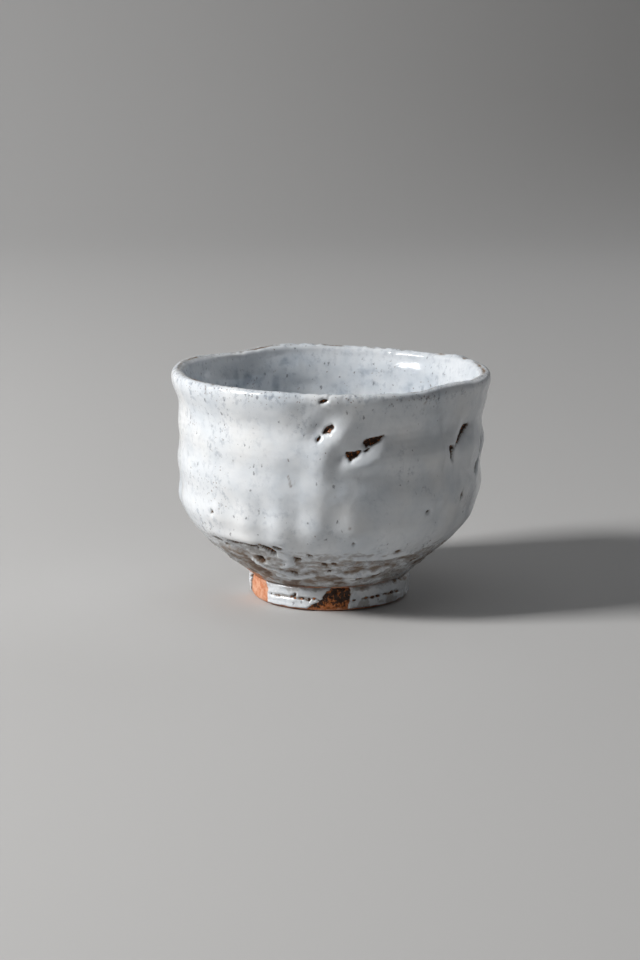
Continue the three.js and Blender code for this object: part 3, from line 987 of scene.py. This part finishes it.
def clay_wall(columns):
    """The thrown clay: seen in the crawls and at the foot, and plain under the glaze elsewhere."""
    outside = Grid(WALL_OUTLINE, columns, outside_rows())
    _, distance = glaze_thickness(outside)
    crawled = smooth_step(-distance / CRAWL_EDGE)
    recess = CRAWL_RECESS * crawled * smooth_step((outside.height - 12) / 2)
    face = clay_relief(outside) - GLAZE - recess - 0.08 * outside.noise(1.5, 51) * (recess > 0)
    crest = Grid(WALL_OUTLINE, columns, np.linspace(CREST - 1.5, SEAM + 2, 5))
    inside = Grid(WALL_OUTLINE, columns, np.linspace(SEAM + 5, WALL_OUTLINE.length, 15))
    underside = Outline(UNDERSIDE_POINTS)
    under = Grid(underside, columns, np.linspace(0, underside.length, 14))
    rows = np.concatenate([
        under.raised(0.12 * under.noise(3, 52)),
        outside.raised(face),
        crest.raised(crest.full(-GLAZE - CREST_CLEARANCE)),
        inside.raised(inside.full(-GLAZE - INSIDE_CLEARANCE)),
    ])
    # The wall's bare clay in the crawls and pits is made near black: partly its fired colour, partly
    # painted shade in those hollows.
    scorch_and_shade = np.zeros(rows.shape[:2])
    first = under.shape[0]
    above_foot = smooth_step((outside.height - 13.5) / 2)
    scorch_and_shade[first:first + outside.shape[0]] = 1.2 * above_foot + 0.15 * (1 - above_foot)
    return bowl_piece("clay_wall", rows, {"scorch_and_shade": scorch_and_shade}, CLAY_MATERIAL)


# -------------------------------- the foot
# Steps in degrees round and in millimetres along.
RING_COLUMN_STEP = 0.72
RING_ROW_STEP = 0.42
COAT_COLUMN_STEP = 0.6
COAT_ROW_STEP = 0.3
WELL_COLUMN_STEP = 1.5
WELL_ROW_STEP = 0.5

# The foot's coats: how far past their ends the mesh runs, their rolled edge, how far they dive past
# it, and their hidden back as for the wall's coats, from the crease.
COAT_MARGIN = 3.0
COAT_EDGE = 0.7
COAT_DIVE = 0.5
FOOT_COAT_BACK = (0.8, 6, -1.5)

def foot_scorch_and_shade(grid):
    """The foot's clay fired rusty and half glassy in its front mark, orange in the others.

    Elsewhere it is dark; along its lower edge and in the pits that is partly painted shade.
    """
    front = smooth_step(1 - grid.stroke(HELD_FRONT) / 2.5)
    rusty = 0.5 + 0.45 * smooth_step((grid.height - 2.5) / 4)
    orange = smooth_step(1 - grid.strokes((HELD_LEFT, HELD_BACK)) / 1.5)
    scorch_and_shade = front * rusty + (1 - front) * 0.95 * (1 - orange)
    return np.clip(scorch_and_shade + 0.1 * grid.noise(5, 61), 0, 1)


def foot_ring_piece():
    """The clay ring the bowl stands on, with scorched clay in its front mark."""
    inner = FOOT_INNER
    outer = FOOT_RADIUS - GLAZE
    middle = (inner + outer) / 2
    outline = Outline((
        (inner - 0.2, FOOT_HEIGHT + 0.4), (inner - 0.1, 5.0), (inner + 0.1, 1.6), (inner + 0.9, 0.35),
        (inner + 2.0, 0.06), (middle, 0.03), (outer - 1.5, 0.06), (outer - 0.45, 0.4),
        (outer, 1.3), (outer + 0.1, 4.0), (outer + 0.1, 7.0), (outer - 0.3, FOOT_HEIGHT + 0.4),
        (outer - 2.5, FOOT_HEIGHT + 0.9), (inner + 2.0, FOOT_HEIGHT + 0.9),
    ))
    columns = np.arange(-180, 180, RING_COLUMN_STEP)
    grid = Grid(outline, columns, np.arange(0, outline.length, RING_ROW_STEP), foot=True)
    beside = FOOT_COAT_OUTLINE.along_at(grid.height[:, 0])
    outside = Grid(FOOT_COAT_OUTLINE, columns, beside, foot=True)
    outer_side = smooth_step((grid.radius - middle) / 1.5)
    scorch_and_shade = foot_scorch_and_shade(outside) * outer_side * smooth_step((grid.height - 0.3) / 1.4)
    standing = smooth_step((grid.height - 0.15) / 0.8)
    rough = 0.07 * grid.noise(1.6, 62) + 0.12 * grid.noise(4, 63)
    rough += scorch_and_shade * (0.2 + 0.4 * grid.noise(1.4, 64) + 0.35 * grid.noise(3, 65))
    relief = rough * standing - 0.01 * (1 - standing)
    return ring_piece("foot_ring_clay", grid.raised(relief), {"scorch_and_shade": scorch_and_shade}, CLAY_MATERIAL)


# The glazed surface of the foot, from its lower edge up to the crease with the wall.
FOOT_COAT_OUTLINE = Outline((
    (FOOT_RADIUS - 0.7, 0.35), (FOOT_RADIUS - 0.2, 0.8), (FOOT_RADIUS, 2.0), (FOOT_RADIUS + 0.1, 4.4),
    (FOOT_RADIUS + 0.2, 6.6), (FOOT_RADIUS + 0.25, 7.8), (FOOT_RADIUS, 8.6), (FOOT_RADIUS - 0.7, 9.2),
    (FOOT_RADIUS - 1.6, 9.6),
))
FOOT_LINE = 4.7
FOOT_GROOVES = (
    ((-46, 4.6, 0.25), (-36, 4.9, 0.35), (-24, 4.7, 0.3), (-8, 4.9, 0.3)),
    ((24, 4.4, 0.2), (40, 4.7, 0.3), (58, 4.5, 0.2)),
    ((94, 4.4, 0.2), (104, 4.9, 0.3), (114, 4.6, 0.2)),
    ((-160, 4.9, 0.2), (-149, 4.4, 0.3), (-138, 4.5, 0.2)),
    ((-108, 4.3, 0.2), (-97, 4.8, 0.3)),
)
SCATTERED_PITS = 22


def foot_pits():
    """Short pits along the foot's grooves, where the glaze opened, and a few scattered ones."""
    pits = []
    for groove in FOOT_GROOVES:
        azimuth = groove[0][0] + 2
        while wrapped(azimuth - groove[-1][0]) < 0:
            length = random.uniform(0.5, 4.6)
            height = FOOT_LINE + random.uniform(-0.6, 0.6)
            size = random.uniform(-0.05, 0.13)
            end = (azimuth + length, height + random.uniform(-0.3, 0.3), size)
            pits.append(((azimuth, height, size), end))
            azimuth += length + random.uniform(1.0, 17.0)
    for _ in range(SCATTERED_PITS):
        azimuth = random.uniform(-180, 180)
        height = random.uniform(1.4, 7.4)
        size = random.uniform(0.12, 0.4)
        pits.append(((azimuth, height, size), (azimuth + random.uniform(0.4, 1.6), height, size)))
    return pits


FOOT_PITS = foot_pits()


def foot_wash(grid):
    """Where the foot's glaze turns browner: more round the right of the foot, and in a band at its
    top.
    """
    right = 0.3 * smooth_step(wrapped(grid.azimuth + 5) / 30)
    patches = smooth_step(1.6 * grid.noise(6, 77, 1.6) + 0.9 * grid.noise(2, 78))
    top = 0.25 * smooth_step((grid.height - 6.6) / 1.6)
    return (0.25 + right) * patches + top


def foot_coat(name, start, end, lift):
    """The glaze on the foot between two bare marks, from one azimuth round to another.

    Where two coats run together above a mark, the one with the lift lies over the other.
    """
    columns = np.arange(start - COAT_MARGIN, end + COAT_MARGIN, COAT_COLUMN_STEP)
    along = np.arange(0, FOOT_COAT_OUTLINE.length, COAT_ROW_STEP)
    grid = Grid(FOOT_COAT_OUTLINE, columns, along, foot=True)
    degree = FOOT_RADIUS * math.pi / 180
    side = np.minimum(grid.azimuth - start, end - grid.azimuth) * degree
    side = np.minimum(side, held_distance(grid, (HELD_LEFT, HELD_FRONT, HELD_BACK)))
    foot_edge = grid.height - 0.75 + 0.45 * grid.noise(3.4, 73)
    pits = grid.strokes(FOOT_PITS, reach=4.0) + 0.12 * grid.noise(0.9, 74)
    distance = np.minimum(np.minimum(side, foot_edge), pits)
    thickness = GLAZE + lift + 0.14 * grid.noise(6, 75) + 0.08 * grid.noise(2, 76)
    thickness -= 0.55 * smooth_step(1 - grid.strokes(FOOT_GROOVES, reach=6.0) / 0.7)
    thickness += 0.18 * bell((distance - 0.9) / 0.6)
    thickness = edged(thickness, distance, COAT_EDGE, COAT_DIVE)
    layers = {
        "thin_and_shade": thinness(thickness) + foot_wash(grid),
        "cool_and_shade": grid.full(0.3),
        "speckled": grid.full(0.3),
    }
    back = back_rows(grid, along[-1], *FOOT_COAT_BACK)
    loop = np.concatenate([grid.raised(thickness - GLAZE), back])
    return band_piece(name, loop, padded(layers, after=len(back)), GLAZE_MATERIAL)


WELL_LOW = WELL_TOP - (GLAZE + GAP)
WELL_POINTS = (
    (POLE_RADIUS, WELL_LOW - 0.3), (5, WELL_LOW - 0.1), (12, WELL_LOW + 0.1), (18, WELL_LOW),
    (FOOT_INNER - 3.6, WELL_LOW + 0.5), (FOOT_INNER - 3.2, WELL_TOP + 0.3),
    (18, WELL_TOP + 0.8), (6, WELL_TOP + 0.8), (POLE_RADIUS, WELL_TOP + 0.8),
)


def well_coat():
    """The pool of glaze in the recess inside the foot ring, seen from below."""
    outline = Outline(WELL_POINTS)
    columns = np.arange(-180, 180, WELL_COLUMN_STEP)
    grid = Grid(outline, columns, np.arange(0, outline.length, WELL_ROW_STEP), foot=True)
    relief = 0.14 * grid.noise(7, 81) + 0.06 * grid.noise(2.2, 82)
    relief += 0.12 * np.cos(2 * np.pi * grid.radius / 3.4 + np.radians(grid.azimuth))
    thin_and_shade = 0.4 * smooth_step(grid.noise(6, 83)) + 0.7 * smooth_step((grid.radius - 17.5) / 2)
    layers = {"thin_and_shade": thin_and_shade, "cool_and_shade": grid.full(0.5), "speckled": grid.full(0.5)}
    return bowl_piece("foot_well_coat", grid.raised(relief), layers, GLAZE_MATERIAL)


# -------------------------------- putting it together


def stand_for(piece, nodes):
    """Rides the piece on the one body and lets it stand for its CAD nodes."""
    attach(piece, "root")
    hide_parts(*nodes)


stand_for(outer_coat(COLUMNS), ["outer_glaze"])
stand_for(inner_coat(COLUMNS), ["inner_glaze"])
stand_for(clay_wall(COLUMNS), ["clay_body"])
stand_for(foot_ring_piece(), ["foot_ring"])

# Each coat's CAD node, from and to azimuth, and lift.
FOOT_COATS = (
    ("foot_glaze_front", -60, 8, 0.04),
    ("foot_glaze_right", 4, 154, 0.0),
    ("foot_glaze_back", 150, 302, 0.04),
)
for node, start, end, lift in FOOT_COATS:
    stand_for(foot_coat(node + "_coat", start, end, lift), [node])
stand_for(well_coat(), ["foot_well_glaze"])

# -------------------------------- floor, light and camera
# Metres and watts from here on.
FLOOR_COLOUR = (0.47, 0.465, 0.46, 1)
FLOOR_ROUGHNESS = 0.75
FLOOR_FLAT = 1.3
FLOOR_CURVE = 2.1
FLOOR_CURVE_STEP = 3
FLOOR_COLUMNS = 96
SKY_COLOUR = (0.86, 0.9, 0.95, 1.0)
SKY_STRENGTH = 0.045
WHITE = (1.0, 1.0, 1.0)
BOWL_MIDDLE = (0, 0, LIP_HEIGHT * MM / 2)

# Each light's name, place, aim, size, power, colour and spread in degrees.
LIGHTS = (
    ("window", (-1.15, -0.36, 0.86), BOWL_MIDDLE, 0.33, 27.0, (1.0, 0.995, 0.985), 180),
    ("overhead", (0.0, 0.2, 2.6), BOWL_MIDDLE, 2.4, 6.5, WHITE, 180),
    ("backdrop", (0.5, -0.5, 2.3), (-2.6, 2.2, 0.8), 1.0, 34.0, WHITE, 90),
    ("fill", (0.9, -1.1, 0.7), BOWL_MIDDLE, 1.2, 0.6, (0.93, 0.96, 1.0), 180),
    ("back", (0.8, 1.0, 0.8), BOWL_MIDDLE, 0.9, 2.6, (0.95, 0.97, 1.0), 180),
)

CAMERA_PLACE = (-0.0042, -0.8433, 0.2216)
CAMERA_LOOKS_DOWN = 11.91
CAMERA_LENS = 85
CAMERA_SENSOR = 36


def pale_floor():
    """A plain floor that curves up all round into a seamless backdrop."""
    outline = [(FLOOR_FLAT, 0.0)]
    for turn in np.radians(np.arange(FLOOR_CURVE_STEP, 90 + 1, FLOOR_CURVE_STEP)):
        radius = FLOOR_FLAT + FLOOR_CURVE * math.sin(turn)
        outline.append((radius, FLOOR_CURVE * (1 - math.cos(turn))))
    turn = np.linspace(0, 2 * np.pi, FLOOR_COLUMNS, endpoint=False)
    rows = [
        np.stack([radius * np.cos(turn), radius * np.sin(turn), height + 0 * turn], axis=1)
        for radius, height in outline
    ]
    points = np.concatenate([[[0, 0, 0]], *rows])
    column = np.arange(FLOOR_COLUMNS)
    centre = np.stack([0 * column, 1 + column, 1 + (column + 1) % FLOOR_COLUMNS], axis=1)
    quads = 1 + loop_faces(len(rows), FLOOR_COLUMNS, True, False)[:, ::-1]
    mesh = bpy.data.meshes.new("floor")
    mesh.from_pydata(points.tolist(), [], centre.tolist() + quads.tolist())
    mesh.polygons.foreach_set("use_smooth", [True] * len(mesh.polygons))
    surface = {"Base Color": FLOOR_COLOUR, "Roughness": FLOOR_ROUGHNESS}
    mesh.materials.append(Shader("pale_floor").surfaced(surface))
    floor = scene_object("floor", mesh)


def area_light(name, place, aim, size, power, colour, spread):
    """A square light at a place, turned towards its aim."""
    light = bpy.data.lights.new(name, "AREA")
    light.size = size
    light.energy = power
    light.color = colour
    light.spread = math.radians(spread)
    lamp = scene_object(name, light)
    lamp.location = place
    toward = Vector(aim) - Vector(place)
    lamp.rotation_euler = toward.to_track_quat("-Z", "Y").to_euler()


def studio():
    """A dim sky and the studio's lights."""
    world = bpy.data.worlds.new("studio")
    world.use_nodes = True
    sky = world.node_tree.nodes["Background"].inputs
    sky["Color"].default_value = SKY_COLOUR
    sky["Strength"].default_value = SKY_STRENGTH
    bpy.context.scene.world = world
    for light in LIGHTS:
        area_light(*light)
    bpy.context.scene.view_settings.view_transform = "Standard"


def camera():
    """The camera, where the photo was taken from."""
    lens = bpy.data.cameras.new("camera")
    lens.lens = CAMERA_LENS
    lens.sensor_width = CAMERA_SENSOR
    seen_from = scene_object("camera", lens)
    seen_from.location = CAMERA_PLACE
    seen_from.rotation_euler = (math.radians(90 - CAMERA_LOOKS_DOWN), 0, 0)
    bpy.context.scene.camera = seen_from


pale_floor()
studio()
camera()
